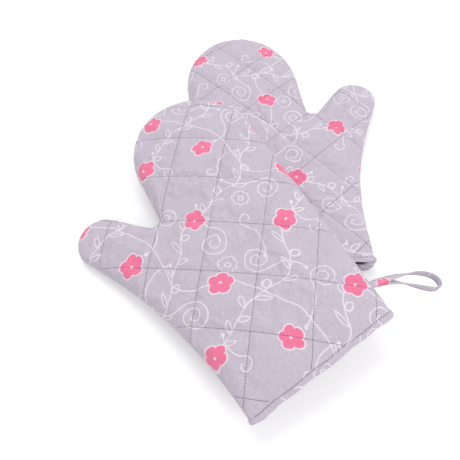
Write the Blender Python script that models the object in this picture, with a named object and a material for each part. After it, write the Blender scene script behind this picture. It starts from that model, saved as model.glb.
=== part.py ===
"""A pair of quilted cotton oven mitts, the right one lying partly over the left one.

Each mitt is two padded panels, back and palm, sewn together round the hand and the thumb.
A panel is three cloth layers: a printed outer cotton, a wadding and a plain lining. The
quilting draws the outer cotton in along a diamond lattice. A folded binding closes the three
layers round the cuff, and a folded strip sewn into the side seam makes the hanging loop.

A mitt is drawn in its own frame: X = 0 is the straight side, the hand lies towards -X, the
fingers point to +Y and the sewn edge is at Z = 0. The left mitt is the mirror image.
"""
from math import acos, asin, atan2, cos, hypot, pi, radians, sin

import bpy
import numpy as np
from mathutils import Matrix, Vector
from mathutils.bvhtree import BVHTree
from mathutils.geometry import delaunay_2d_cdt

# Outline of a mitt, in metres
HAND_WIDTH = 0.122
HAND_LENGTH = 0.2395
FINGER_ROUND = 0.076
THUMB_RADIUS = 0.0231
THUMB_REACH = 0.0540
THUMB_HEIGHT = 0.1978
CROTCH_RADIUS = 0.0065
CROTCH_HEIGHT = 0.1850
THUMB_SIDE_RADIUS = 0.450
CUFF_WIDTH = 0.1328
CUFF_SLANT = 0.0174

# Cloth layers, from the outside in
OUTER_CLOTH = 0.0008
WADDING = 0.0022
LINING = 0.0008
LAYER_GAP = 0.0003
SEAM_GAP = 0.0003

# Padded section: a quarter ellipse at the sewn edge, then a low crown on the back
HALF_THICKNESS = 0.010
EDGE_ROUND = 0.016
CROWN = 0.0025
CROWN_SPAN = 0.035

# Quilting lattice
QUILT_CELL = 0.046
QUILT_ANGLE = radians(35.7)
QUILT_CROSSING_X = -0.0487
QUILT_CROSSING_Y = 0.1301
QUILT_DEPTH = 0.0012
LATTICE_MARGIN = 0.005

# Cuff binding
BINDING_OUTSIDE = 0.005
BINDING_INSIDE = 0.010
BINDING_CLOTH = 0.0008
CUFF_PINCH = 0.0013
CUFF_ROW = 0.014

# Hanging loop
LOOP_LENGTH = 0.067
LOOP_SPREAD = 0.0095
LOOP_STRIP_WIDTH = 0.006
LOOP_STRIP_THICKNESS = 0.0016
LOOP_FROM_CUFF = 0.027
LOOP_TWIST_SHARE = 0.3
RIGHT_LOOP_DROP = radians(25)
RIGHT_LOOP_CURL = radians(-33)
LEFT_LOOP_DROP = radians(12)
LEFT_LOOP_CURL = radians(-150)

# How the pair lies
LEFT_TURN = radians(8.4)
RIGHT_TURN = radians(27.5)
RIGHT_OFFSET_X = -0.0322
RIGHT_OFFSET_Y = -0.1084
RIGHT_ROLL = radians(5.0)
RIGHT_PITCH = radians(-2.0)
THUMB_SAG = 0.013
THUMB_SAG_START = 0.030
CUFF_SAG = 0.004
CUFF_SAG_START = 0.090
FINGER_SAG = 0.002
FINGER_TUCK = 0.0065
FINGER_SAG_START = 0.190
CUFF_FLARE = 0.008
CUFF_FLARE_RISE = 0.0045
CUFF_FLARE_START = 0.105
START_HEIGHT = 0.12
REST_CLEARANCE = 0.0005
PIVOT_X = -0.067
PIVOT_Y = 0.1587

# Counts of mesh steps
SIDE_STEPS = 6
FINGER_STEPS = 14
HAND_STEPS = 2
CROTCH_STEPS = 4
THUMB_TOP_STEPS = 2
THUMB_STEPS = 7
THUMB_SIDE_STEPS = 8
CUFF_STEPS = 7
FINE_STEPS = 3
COARSE_STEPS = 1
LOOP_STEPS = 40
FOLD_STEPS = 4
EDGE_ANGLES = (0.0, radians(40), radians(90))
SHARP_EDGE = radians(50)
PLAN_TOLERANCE_SHARE = 1e-6

COTTON = (0.50, 0.42, 0.50, 1.0)
FIBRE = (0.85, 0.83, 0.78, 1.0)
LINING_COTTON = (0.33, 0.28, 0.29, 1.0)


def clear_scene():
    """Removes the objects of the open scene."""
    for old in list(bpy.data.objects):
        bpy.data.objects.remove(old, do_unlink=True)


def material(name, colour):
    """A matt cloth material of one colour."""
    cloth = bpy.data.materials.new(name)
    cloth.use_nodes = True
    shader = cloth.node_tree.nodes["Principled BSDF"]
    shader.inputs["Base Color"].default_value = colour
    shader.inputs["Roughness"].default_value = 0.9
    shader.inputs["Metallic"].default_value = 0.0
    return cloth


def arc(centre, radius, start, end, steps, into):
    """Points of an arc with unit normals; into is 1 where the cloth lies outside the arc's circle."""
    rows = []
    for angle in np.linspace(start, end, steps + 1):
        out = np.array([cos(angle), sin(angle)])
        rows.append((np.array(centre) + radius * out, into * out))
    return rows


def line(start, end, steps):
    """Points of a straight stretch with the unit normals on its left side."""
    start, end = np.array(start), np.array(end)
    run = (end - start) / np.linalg.norm(end - start)
    normal = np.array([-run[1], run[0]])
    return [(start + (end - start) * share, normal) for share in np.linspace(0, 1, steps + 1)]


def outline():
    """The sewn edge, from the straight side's cuff corner over the fingers and round the thumb."""
    outer_corner = (0, CUFF_SLANT)
    thumb_corner = np.array([-CUFF_WIDTH, 0])
    lean = atan2(CUFF_SLANT, CUFF_WIDTH)
    first_row = (0, CUFF_SLANT + CUFF_ROW / cos(lean))
    rows = line(outer_corner, first_row, 1)
    rows += line(first_row, (0, HAND_LENGTH), SIDE_STEPS)[1:]
    for angle in np.linspace(0, pi, FINGER_STEPS + 1)[1:]:
        point = np.array([HAND_WIDTH / 2 * (cos(angle) - 1), HAND_LENGTH + FINGER_ROUND * sin(angle)])
        slope = np.array([cos(angle) / (HAND_WIDTH / 2), sin(angle) / FINGER_ROUND])
        rows.append((point, -slope / np.linalg.norm(slope)))

    # The thumb's top edge touches the crotch circle on one side and the thumb circle on the other
    crotch = np.array([-HAND_WIDTH - CROTCH_RADIUS, CROTCH_HEIGHT + CROTCH_RADIUS])
    thumb = np.array([-HAND_WIDTH - THUMB_REACH, THUMB_HEIGHT])
    between = thumb - crotch
    turn = asin((CROTCH_RADIUS + THUMB_RADIUS) / hypot(*between))
    top_angle = atan2(between[1], between[0]) - turn
    touch = top_angle - pi / 2
    rows += line(rows[-1][0], crotch + (CROTCH_RADIUS, 0), HAND_STEPS)[1:]
    rows += arc(crotch, CROTCH_RADIUS, 0, touch - pi, CROTCH_STEPS, 1)[1:]
    towards = np.array([cos(touch), sin(touch)])
    rows += line(rows[-1][0], thumb + THUMB_RADIUS * towards, THUMB_TOP_STEPS)[1:]

    # The thumb's long side is an arc that touches the thumb circle and ends at the cuff corner
    to_corner = thumb_corner - thumb
    reach = hypot(*to_corner)
    far = THUMB_SIDE_RADIUS + THUMB_RADIUS
    bend = acos((far ** 2 + reach ** 2 - THUMB_SIDE_RADIUS ** 2) / (2 * far * reach))
    side_angle = atan2(to_corner[1], to_corner[0]) - bend
    side = thumb + far * np.array([cos(side_angle), sin(side_angle)])
    end_of_thumb = side_angle % (2 * pi)
    rows += arc(thumb, THUMB_RADIUS, touch, end_of_thumb, THUMB_STEPS, -1)[1:]
    start = atan2(*(thumb - side)[::-1])
    stop = atan2(*(thumb_corner - side)[::-1])
    row_turn = CUFF_ROW / THUMB_SIDE_RADIUS
    rows += arc(side, THUMB_SIDE_RADIUS, start, stop + row_turn, THUMB_SIDE_STEPS, 1)[1:]
    rows += arc(side, THUMB_SIDE_RADIUS, stop + row_turn, stop, 1, 1)[1:]
    return rows


EDGE = outline()
EDGE_POINTS = np.array([row[0] for row in EDGE])
EDGE_NORMALS = np.array([row[1] for row in EDGE])
LAST = len(EDGE) - 1
CUFF_RUN = (EDGE_POINTS[LAST] - EDGE_POINTS[0]) / np.linalg.norm(EDGE_POINTS[LAST] - EDGE_POINTS[0])
CUFF_OUT = np.array([CUFF_RUN[1], -CUFF_RUN[0]]) * np.sign(CUFF_RUN[0])


def inset(index, distance):
    """A point of the sewn edge moved into the cloth; at the cuff it slides along the cuff line."""
    normal = EDGE_NORMALS[index]
    if index in (0, LAST):
        run = CUFF_RUN if index == 0 else -CUFF_RUN
        return EDGE_POINTS[index] + run * distance / (run @ normal)
    return EDGE_POINTS[index] + normal * distance


def edge_distance(point):
    """Distance from a point to the sewn edge."""
    start, end = EDGE_POINTS[:-1], EDGE_POINTS[1:]
    run = end - start
    share = np.clip(((point - start) * run).sum(1) / (run ** 2).sum(1), 0, 1)
    return np.linalg.norm(point - start - share[:, None] * run, axis=1).min()


def crown(point):
    """Rise of the back of the mitt above its edge rounding."""
    share = min(max((edge_distance(point) - EDGE_ROUND) / CROWN_SPAN, 0), 1)
    return CROWN * (1 - (1 - share) ** 2)


def cuff_row(row):
    """Points between the edge roundings along the cuff line, or along the row beside it."""
    ends = (0, LAST) if row == 0 else (1, LAST - 1)
    start, end = (inset(index, EDGE_ROUND) for index in ends)
    return [start + (end - start) * share for share in np.linspace(0, 1, CUFF_STEPS + 1)[1:-1]]


def lattice(steps):
    """Points of the quilting lattice inside the edge rounding, each marked as on a line or not."""
    first_way = np.array([cos(QUILT_ANGLE), -sin(QUILT_ANGLE)])
    second_way = np.array([sin(QUILT_ANGLE), cos(QUILT_ANGLE)])
    crossing = np.array([QUILT_CROSSING_X, QUILT_CROSSING_Y])
    step = QUILT_CELL / steps
    reach = int((HAND_LENGTH + FINGER_ROUND) / step) + 1
    polygon = np.vstack([EDGE_POINTS, EDGE_POINTS[:1]])
    found = []
    for i in range(-reach, reach + 1):
        for j in range(-reach, reach + 1):
            point = crossing + step * (i * first_way + j * second_way)
            above_cuff = (EDGE_POINTS[0] - point) @ CUFF_OUT
            if inside(point, polygon) and above_cuff > CUFF_ROW + LATTICE_MARGIN:
                if edge_distance(point) > EDGE_ROUND + LATTICE_MARGIN:
                    found.append((point, i % steps == 0 or j % steps == 0))
    return found


def inside(point, polygon):
    """Whether a point lies inside a closed polygon."""
    (x, y), crossings = point, 0
    for (x0, y0), (x1, y1) in zip(polygon[:-1], polygon[1:]):
        if (y0 > y) != (y1 > y) and x < x0 + (y - y0) * (x1 - x0) / (y1 - y0):
            crossings += 1
    return crossings % 2 == 1


def plan(steps):
    """The net of a panel in plan: edge rings, two cuff rows and the lattice, as triangles."""
    spots = []
    for ring, angle in enumerate(EDGE_ANGLES):
        for index in range(LAST + 1):
            spots.append(("ring", ring, index, inset(index, EDGE_ROUND * (1 - cos(angle)))))
    for row in (0, 1):
        for place, point in enumerate(cuff_row(row)):
            spots.append(("row", row, place, point))
    for point, on_line in lattice(steps):
        spots.append(("lattice", on_line, 0, point))

    rings, count, between = len(EDGE_ANGLES), LAST + 1, CUFF_STEPS - 1
    links = [(ring * count + i, ring * count + i + 1) for ring in range(rings) for i in range(LAST)]
    borders = []
    for row, near, distant in ((0, 0, LAST), (1, 1, LAST - 1)):
        first = rings * count + row * between
        chain = [ring * count + near for ring in range(rings)]
        chain += list(range(first, first + between))
        chain += [ring * count + distant for ring in reversed(range(rings))]
        links += list(zip(chain[:-1], chain[1:]))
        borders.append(chain)
    rim = list(range(count)) + borders[0][::-1][1:-1]
    flat = [Vector(spot[3]) for spot in spots]
    result = delaunay_2d_cdt(flat, links, [rim], 1, EDGE_ROUND * PLAN_TOLERANCE_SHARE)
    order = [origins[0] for origins in result[3]]
    faces = [tuple(order[i] for i in face) for face in result[2]]
    return spots, faces, rim


FINE_PLAN = plan(FINE_STEPS)
COARSE_PLAN = plan(COARSE_STEPS)


def spot_height(spot, height, quilted, crowned):
    """Height of a spot of the net above the sewn edge."""
    kind, number, index, point = spot
    if kind == "ring":
        pinched = CUFF_PINCH if index in (0, 1, LAST - 1, LAST) else 0
        return (height - pinched) * sin(EDGE_ANGLES[number])
    if kind == "row":
        return height - CUFF_PINCH + crowned * crown(point)
    drawn = QUILT_DEPTH if quilted and number else 0
    return height - drawn + crowned * crown(point)


def spot_place(spot, inward):
    """Plan position of a spot on a surface that lies a given distance inside the cloth."""
    kind, number, index, point = spot
    if kind == "ring":
        return inset(index, inward + (EDGE_ROUND - inward) * (1 - cos(EDGE_ANGLES[number])))
    return point


def finger_share(y):
    """How much a point of the right mitt takes part in the curl of its finger end."""
    share = max(0, y - FINGER_SAG_START) / (HAND_LENGTH + FINGER_ROUND - FINGER_SAG_START)
    return share ** 2


def sag(x, y):
    """How far the right mitt's thumb, cuff and finger end bend down towards the table."""
    thumb = max(0, -x - THUMB_SAG_START) / (HAND_WIDTH + THUMB_REACH + THUMB_RADIUS - THUMB_SAG_START)
    cuff = max(0, CUFF_SAG_START - y) / CUFF_SAG_START
    return THUMB_SAG * thumb ** 2 + CUFF_SAG * cuff ** 2 + FINGER_SAG * finger_share(y)


def flare(x, y):
    """How far the left mitt's cuff is spread on the thumb side, as a share of the whole flare."""
    share = min(max(CUFF_FLARE_START - y, 0) / CUFF_FLARE_START, 1)
    return share * share * (3 - 2 * share) * -x / CUFF_WIDTH


def place(x, y, z, mitt):
    """A point in the frame of the left or the right mitt."""
    if mitt == "right":
        return (x - PIVOT_X, y - PIVOT_Y - FINGER_TUCK * finger_share(y), z - sag(x, y))
    spread = flare(x, y)
    return (PIVOT_X - x + CUFF_FLARE * spread, y - PIVOT_Y + CUFF_FLARE_RISE * spread, z)


def cloth_object(name, vertices, faces, cloth, parent, flip):
    """An object of cloth from its vertices and outward faces."""
    mesh = bpy.data.meshes.new(name)
    if flip:
        faces = [tuple(reversed(face)) for face in faces]
    mesh.from_pydata(vertices, [], faces)
    mesh.materials.append(cloth)
    mesh.shade_smooth()
    mesh.set_sharp_from_angle(angle=SHARP_EDGE)
    made = bpy.data.objects.new(name, mesh)
    bpy.context.collection.objects.link(made)
    made.parent = parent
    return made


def panel_layer(name, mitt, face, net, outer, inner, quilted, cloth, parent):
    """One cloth layer of a panel, between two surfaces given as (inward distance, height)."""
    spots, faces, rim = net
    upward = 1 if face == "back" else -1
    crowned = 1 if face == "back" else 0
    vertices = []
    for inward, height in (outer, inner):
        for spot in spots:
            x, y = spot_place(spot, inward)
            z = spot_height(spot, height, quilted, crowned) + SEAM_GAP / 2
            vertices.append(place(x, y, upward * z, mitt))
    count = len(spots)
    shell = list(faces)
    shell += [tuple(i + count for i in reversed(triangle)) for triangle in faces]
    for start, end in zip(rim, rim[1:] + rim[:1]):
        shell.append((end, start, start + count, end + count))
    flip = (upward < 0) != (mitt == "left")
    return cloth_object(name, vertices, shell, cloth, parent, flip)


def cuff_section(inward, height, row):
    """The closed section of a surface at the cuff, or at the row beside it."""
    ends = (0, LAST) if row == 0 else (1, LAST - 1)
    thick = height - CUFF_PINCH
    sides = []
    for index in ends:
        side = []
        for angle in EDGE_ANGLES:
            x, y = inset(index, inward + (EDGE_ROUND - inward) * (1 - cos(angle)))
            side.append((x, y, (thick + SEAM_GAP / 2) * sin(angle)))
        sides.append(side)
    near, distant = sides
    level = thick + SEAM_GAP / 2
    back = [(x, y, level + crown(np.array([x, y]))) for x, y in cuff_row(row)]
    palm = [(x, y, -level) for x, y in cuff_row(row)]
    section = near + back + distant[::-1]
    section += [(x, y, -z) for x, y, z in distant[1:]] + palm[::-1]
    section += [(x, y, -z) for x, y, z in near[:0:-1]]
    return np.array(section)


def cuff_binding(name, mitt, cloth, parent):
    """The folded strip round the cuff: outside leg, fold over the raw edges and inside leg."""
    stack = OUTER_CLOTH + WADDING + LINING + 2 * LAYER_GAP
    outside = LAYER_GAP + BINDING_CLOTH
    rise = QUILT_DEPTH + stack
    profile = (
        (-outside, outside, BINDING_OUTSIDE),
        (-outside, outside, -outside),
        (stack + outside, -rise - outside, -outside),
        (stack + outside, -rise - outside, BINDING_INSIDE),
        (stack + LAYER_GAP, -rise - LAYER_GAP, BINDING_INSIDE),
        (stack + LAYER_GAP, -rise - LAYER_GAP, -LAYER_GAP),
        (-LAYER_GAP, LAYER_GAP, -LAYER_GAP),
        (-LAYER_GAP, LAYER_GAP, BINDING_OUTSIDE),
    )
    vertices, sections = [], 0
    for inward, lift, along in profile:
        at_cuff = cuff_section(inward, HALF_THICKNESS + lift, 0)
        beside = cuff_section(inward, HALF_THICKNESS + lift, 1)
        if along > 0:
            ring = at_cuff + (beside - at_cuff) * along / CUFF_ROW
        else:
            ring = at_cuff + np.array([CUFF_OUT[0], CUFF_OUT[1], 0]) * -along
        vertices += [place(x, y, z, mitt) for x, y, z in ring]
        sections += 1
    around = len(vertices) // sections
    faces = []
    for leg in range(sections):
        other = (leg + 1) % sections
        for i in range(around):
            j = (i + 1) % around
            faces.append((leg * around + i, leg * around + j, other * around + j, other * around + i))
    return cloth_object(name, vertices, faces, cloth, parent, mitt == "left")


def hanging_loop(name, curl, cloth, parent):
    """A folded strip whose two strands lie flat together at the seam and open into a loop.

    The loop's middle line is an arc that turns by curl from the seam to the tip.
    """
    fold = (LOOP_STRIP_THICKNESS + SEAM_GAP) / 2
    centres, widths = [], []
    for share in np.linspace(0, 1, LOOP_STEPS + 1):
        swell = sin(pi * share)
        turn = curl * swell
        ahead = LOOP_LENGTH * swell * np.sinc(turn / pi)
        aside = LOOP_LENGTH * swell * sin(turn / 2) * np.sinc(turn / (2 * pi))
        spread = LOOP_SPREAD * sin(2 * pi * share) * swell
        centres.append((ahead - spread * sin(turn), aside + spread * cos(turn), fold * cos(pi * share)))
        part = min(min(share, 1 - share) / LOOP_TWIST_SHARE, 1)
        twist = -pi / 2 * part * part * (3 - 2 * part)
        widths.append((-sin(turn) * cos(twist), cos(turn) * cos(twist), sin(twist)))
    for angle in np.linspace(-pi / 2, -3 * pi / 2, FOLD_STEPS + 1)[1:-1]:
        centres.append((fold * cos(angle), 0, fold * sin(angle)))
        widths.append((0, 1, 0))
    count, vertices = len(centres), []
    for i in range(count):
        run = Vector(centres[(i + 1) % count]) - Vector(centres[i - 1])
        thick = run.cross(Vector(widths[i])).normalized()
        wide = thick.cross(run).normalized()
        half_wide, half_thick = wide * LOOP_STRIP_WIDTH / 2, thick * LOOP_STRIP_THICKNESS / 2
        for across, through in ((1, 1), (1, -1), (-1, -1), (-1, 1)):
            vertices.append(Vector(centres[i]) + half_wide * across + half_thick * through)
    faces = []
    for i in range(count):
        j = (i + 1) % count
        for corner in range(4):
            other = (corner + 1) % 4
            faces.append((4 * j + corner, 4 * j + other, 4 * i + other, 4 * i + corner))
    return cloth_object(name, vertices, faces, cloth, parent, False)


def pivot(name, matrix, parent=None):
    """An empty that carries a moving piece."""
    made = bpy.data.objects.new(name, None)
    bpy.context.collection.objects.link(made)
    made.parent = parent
    made.matrix_local = matrix
    return made


def mitt(side, matrix, cloths):
    """One mitt: two panels of three layers, the cuff binding and the hanging loop."""
    outer, fibre, lining = cloths
    body = pivot(side + "_mitt_body", matrix)
    depth = 0
    surfaces = []
    for thickness, sunk in ((OUTER_CLOTH, 0), (WADDING, QUILT_DEPTH), (LINING, QUILT_DEPTH)):
        top = (depth, HALF_THICKNESS - depth - sunk)
        depth += thickness
        surfaces.append((top, (depth, HALF_THICKNESS - depth - sunk)))
        depth += LAYER_GAP
    for face in ("back", "palm"):
        layers = (
            ("_outer_panel", FINE_PLAN, True, outer),
            ("_wadding", COARSE_PLAN, False, fibre),
            ("_lining", COARSE_PLAN, False, lining),
        )
        for (label, net, quilted, cloth), (top, under) in zip(layers, surfaces):
            name = side + "_" + face + label
            panel_layer(name, side, face, net, top, under, quilted, cloth, body)
    cuff_binding(side + "_cuff_binding", side, outer, body)

    # The loop turns on the side seam, just outside the sewn edge
    seat = LOOP_STRIP_THICKNESS + SEAM_GAP / 2 + SEAM_GAP
    along = CUFF_SLANT + LOOP_FROM_CUFF
    facing = 0 if side == "right" else pi
    drop, curl = RIGHT_LOOP_DROP, RIGHT_LOOP_CURL
    if side == "left":
        drop, curl = LEFT_LOOP_DROP, LEFT_LOOP_CURL
    turn = Matrix.Rotation(facing, 4, "Z") @ Matrix.Rotation(drop, 4, "Y")
    hinge = pivot(side + "_loop_hinge", Matrix.Translation(place(seat, along, 0, side)) @ turn, body)
    hanging_loop(side + "_hanging_loop", curl, outer, hinge)
    return body


def world_mesh(made):
    """Vertices in world space and faces of an object."""
    matrix = made.matrix_world
    vertices = [matrix @ vertex.co for vertex in made.data.vertices]
    return vertices, [tuple(face.vertices) for face in made.data.polygons]


def gather(prefix):
    """All vertices and faces of the pieces of one mitt."""
    vertices, faces = [], []
    for made in bpy.data.objects:
        if made.type == "MESH" and made.name.startswith(prefix):
            points, polygons = world_mesh(made)
            start = len(vertices)
            vertices += points
            faces += [tuple(i + start for i in face) for face in polygons]
    return vertices, faces


def settle(upper):
    """Lowers the right mitt until it rests on the left one or on the table, less a clearance."""
    bpy.context.view_layer.update()
    low_points, low_faces = gather("left_")
    high_points, high_faces = gather("right_")
    low_tree = BVHTree.FromPolygons(low_points, low_faces)
    high_tree = BVHTree.FromPolygons(high_points, high_faces)
    gaps = [point.z for point in high_points]
    down, up = Vector((0, 0, -1)), Vector((0, 0, 1))
    for points, tree, way in ((high_points, low_tree, down), (low_points, high_tree, up)):
        for point in points:
            distance = tree.ray_cast(point, way)[3]
            if distance is not None:
                gaps.append(distance)
    upper.location.z -= min(gaps) - REST_CLEARANCE
    bpy.context.view_layer.update()


def centre_on_origin(bodies):
    """Moves the pair so that its box stands centred on the origin."""
    corners = gather("left_")[0] + gather("right_")[0]
    low = [min(corner[axis] for corner in corners) for axis in range(3)]
    high = [max(corner[axis] for corner in corners) for axis in range(3)]
    shift = Vector(((low[0] + high[0]) / 2, (low[1] + high[1]) / 2, low[2]))
    for body in bodies:
        body.location -= shift
    bpy.context.view_layer.update()


def build():
    """The pair of mitts as it lies."""
    clear_scene()
    cloths = (
        material("printed cotton", COTTON),
        material("polyester wadding", FIBRE),
        material("lining cotton", LINING_COTTON),
    )
    left = Matrix.Translation((0, 0, HALF_THICKNESS + SEAM_GAP / 2))
    left = left @ Matrix.Rotation(LEFT_TURN, 4, "Z")
    right = Matrix.Translation((RIGHT_OFFSET_X, RIGHT_OFFSET_Y, START_HEIGHT))
    right = right @ Matrix.Rotation(RIGHT_TURN, 4, "Z")
    right = right @ Matrix.Rotation(-RIGHT_ROLL, 4, "Y") @ Matrix.Rotation(RIGHT_PITCH, 4, "X")
    lower = mitt("left", left, cloths)
    upper = mitt("right", right, cloths)
    settle(upper)
    centre_on_origin((lower, upper))


build()
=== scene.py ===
# %% [markdown]
# # A pair of quilted oven mitts
# Each mitt is cut from three layers of cloth, quilted together along a diamond lattice and sewn
# into a hand with a thumb. This lesson dresses a plain model of the pair: it draws the pattern
# pieces, lets the cotton puff up between the quilting lines with Blender's cloth solver, binds
# the cuffs, twists the hanging loops, and prints the cotton with nodes alone.
# The plain model comes first, because every new piece takes its place and its body from it.

# %% Load the plain model
from math import acos, asin, atan2, ceil, cos, hypot, pi, radians, sin, tau

import bpy
import numpy as np
from mathutils import Matrix, Vector
from mathutils.bvhtree import BVHTree
from mathutils.geometry import barycentric_transform, delaunay_2d_cdt


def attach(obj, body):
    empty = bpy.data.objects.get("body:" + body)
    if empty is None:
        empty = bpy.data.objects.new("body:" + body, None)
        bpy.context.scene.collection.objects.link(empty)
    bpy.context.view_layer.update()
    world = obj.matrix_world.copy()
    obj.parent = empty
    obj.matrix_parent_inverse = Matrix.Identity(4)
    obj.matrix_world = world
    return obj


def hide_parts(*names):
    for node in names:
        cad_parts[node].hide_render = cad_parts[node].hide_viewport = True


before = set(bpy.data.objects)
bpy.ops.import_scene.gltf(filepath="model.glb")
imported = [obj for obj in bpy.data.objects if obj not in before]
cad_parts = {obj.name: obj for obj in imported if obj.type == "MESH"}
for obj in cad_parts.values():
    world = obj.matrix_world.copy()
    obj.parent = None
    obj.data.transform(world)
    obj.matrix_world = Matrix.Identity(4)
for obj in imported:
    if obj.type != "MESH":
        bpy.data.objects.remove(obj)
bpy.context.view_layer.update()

MM = 0.001

# %% [markdown]
# ## Camera, floor and light
# The photograph is a product shot from above the cuffs. Its place was worked out from the
# quilting crossings, which are regular and so tell distance and tilt. The floor is matt white
# paper: what the camera sees of it goes to white, but it keeps the soft shadows of the mitts.

# %% Camera
CAMERA_PLACE = (-0.02045, -0.28502, 0.39848)
CAMERA_DOWN = radians(58.3)
LENS_MM = 39.0

camera = bpy.data.objects.new("camera", bpy.data.cameras.new("camera"))
bpy.context.collection.objects.link(camera)
camera.data.lens = LENS_MM
camera.data.sensor_width = 36
camera.data.clip_start = 0.02
camera.location = CAMERA_PLACE
camera.rotation_euler = (pi / 2 - CAMERA_DOWN, 0, 0)
bpy.context.scene.camera = camera
bpy.context.scene.view_settings.view_transform = "Standard"
print("camera at", CAMERA_PLACE, "looking down", round(CAMERA_DOWN * 180 / pi, 1), "degrees")


# %% Node and colour helpers
def linear(hex_colour):
    """A colour written as sRGB hex, turned to the linear values that shaders use."""
    channels = [int(hex_colour[i:i + 2], 16) / 255 for i in (0, 2, 4)]
    return [c / 12.92 if c <= 0.04045 else ((c + 0.055) / 1.055) ** 2.4 for c in channels] + [1.0]


def add(tree, kind, *feeds, **settings):
    """Adds a node with its settings and links, and gives its outputs, or its only one.

    Feeds go to the sockets in order, and None leaves a socket as it is. The operation of a Math
    or VectorMath node follows its kind after a space.
    """
    kind, space, operation = kind.partition(" ")
    made = tree.nodes.new("ShaderNode" + kind)
    if operation:
        made.operation = operation
    for key, value in settings.items():
        setattr(made, key, value)
    for place, feed in enumerate(feeds):
        if isinstance(feed, bpy.types.NodeSocket):
            tree.links.new(feed, made.inputs[place])
        elif feed is not None:
            made.inputs[place].default_value = feed
    return made.outputs[0] if len(made.outputs) == 1 else made.outputs


def new_material(name, **constants):
    """An empty material with a Principled shader whose constants are set on its own sockets."""
    made = bpy.data.materials.new(name)
    made.use_nodes = True
    shader = made.node_tree.nodes["Principled BSDF"]
    for key, value in constants.items():
        shader.inputs[key.replace("_", " ")].default_value = value
    return made, made.node_tree, shader


# The colour sockets of a Mix node come after its factor and five sockets of other types
SKIPPED = (None,) * 5

# %% Floor and lamps
bpy.ops.object.select_all(action="DESELECT")
bpy.ops.mesh.primitive_plane_add(size=6, location=(0, 0, -0.0002))
floor = bpy.context.object
floor.name = "paper_floor"
paper, tree, shader = new_material("matt white paper", Roughness=1.0)
shader.inputs["Base Color"].default_value = linear("F7F7F8")
shader.inputs["Specular IOR Level"].default_value = 0.0
seen = add(tree, "LightPath")["Is Camera Ray"]
lift = add(tree, "Math MULTIPLY", seen, 0.25)
glow = add(tree, "Emission", linear("FFFFFF"), lift)
both = add(tree, "AddShader", shader.outputs[0], glow)
tree.links.new(both, tree.nodes["Material Output"].inputs["Surface"])
floor.data.materials.append(paper)

world = bpy.data.worlds.new("studio")
bpy.context.scene.world = world
world.use_nodes = True
sky = world.node_tree.nodes["Background"]
sky.inputs["Color"].default_value = (1, 1, 1, 1)
seen = add(world.node_tree, "LightPath")["Is Camera Ray"]
level = add(world.node_tree, "MapRange", seen, 0.0, 1.0, 0.65, 1.0)[0]
world.node_tree.links.new(level, sky.inputs["Strength"])


def lamp(name, place, aim, size, power):
    """A square soft box that points at a place."""
    light = bpy.data.lights.new(name, "AREA")
    light.size, light.energy = size, power
    made = bpy.data.objects.new(name, light)
    bpy.context.collection.objects.link(made)
    made.location = place
    made.rotation_euler = (Vector(place) - Vector(aim)).to_track_quat("Z", "Y").to_euler()


lamp("top_softbox", (-0.5, 1.0, 2.1), (0, 0, 0), 1.3, 15.9)
lamp("fill_softbox", (0.9, -0.5, 0.9), (0, 0, 0), 0.8, 3.8)

# %% [markdown]
# ## The pattern piece
# A mitt is cut from flat cloth, so it is drawn flat first: a straight side, a rounded finger
# end, a small crotch, a thumb and a long curved side down to the cuff, all straight stretches
# and arcs that touch. Both mitts use one outline, mirrored. Everything is in metres, X = 0 is
# the straight side, the hand lies towards -X and the fingers point to +Y.

# %% Sizes of a mitt
HAND_WIDTH, HAND_LENGTH, FINGER_ROUND = 0.122, 0.2395, 0.076
THUMB_RADIUS, THUMB_REACH, THUMB_HEIGHT = 0.0231, 0.0540, 0.1978
CROTCH_RADIUS, CROTCH_HEIGHT = 0.0065, 0.1850
THUMB_SIDE_RADIUS = 0.450
CUFF_WIDTH, CUFF_SLANT, CUFF_PINCH, CUFF_ROW = 0.1328, 0.0174, 0.0013, 0.014
HALF_THICKNESS, EDGE_ROUND, CROWN, CROWN_SPAN = 0.010, 0.016, 0.0025, 0.035
OUTER_CLOTH, WADDING, LINING, LAYER_GAP, SEAM_GAP = 0.0008, 0.0022, 0.0008, 0.0003, 0.0003
QUILT_CELL, QUILT_ANGLE, QUILT_DEPTH = 0.046, radians(35.7), 0.0012
QUILT_CROSSING = np.array([-0.0487, 0.1301])
FIRST_WAY = np.array([cos(QUILT_ANGLE), -sin(QUILT_ANGLE)])
SECOND_WAY = np.array([sin(QUILT_ANGLE), cos(QUILT_ANGLE)])


# %% Outline of the pattern
def straight(start, end):
    """Points half a millimetre apart on a straight stretch, with the normals on its left."""
    start, end = np.array(start, float), np.array(end, float)
    run = end - start
    steps = max(1, ceil(hypot(*run) / (0.5 * MM)))
    normal = np.array([-run[1], run[0]]) / hypot(*run)
    return [(start + run * i / steps, normal) for i in range(1, steps + 1)]


def arc(centre, radius, start, end, into):
    """Points on an arc; into is 1 where the cloth lies outside the arc's circle."""
    steps = max(2, ceil(abs(end - start) * radius / (0.5 * MM)))
    rows = []
    for i in range(1, steps + 1):
        angle = start + (end - start) * i / steps
        out = np.array([cos(angle), sin(angle)])
        rows.append((np.array(centre) + radius * out, into * out))
    return rows


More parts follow.
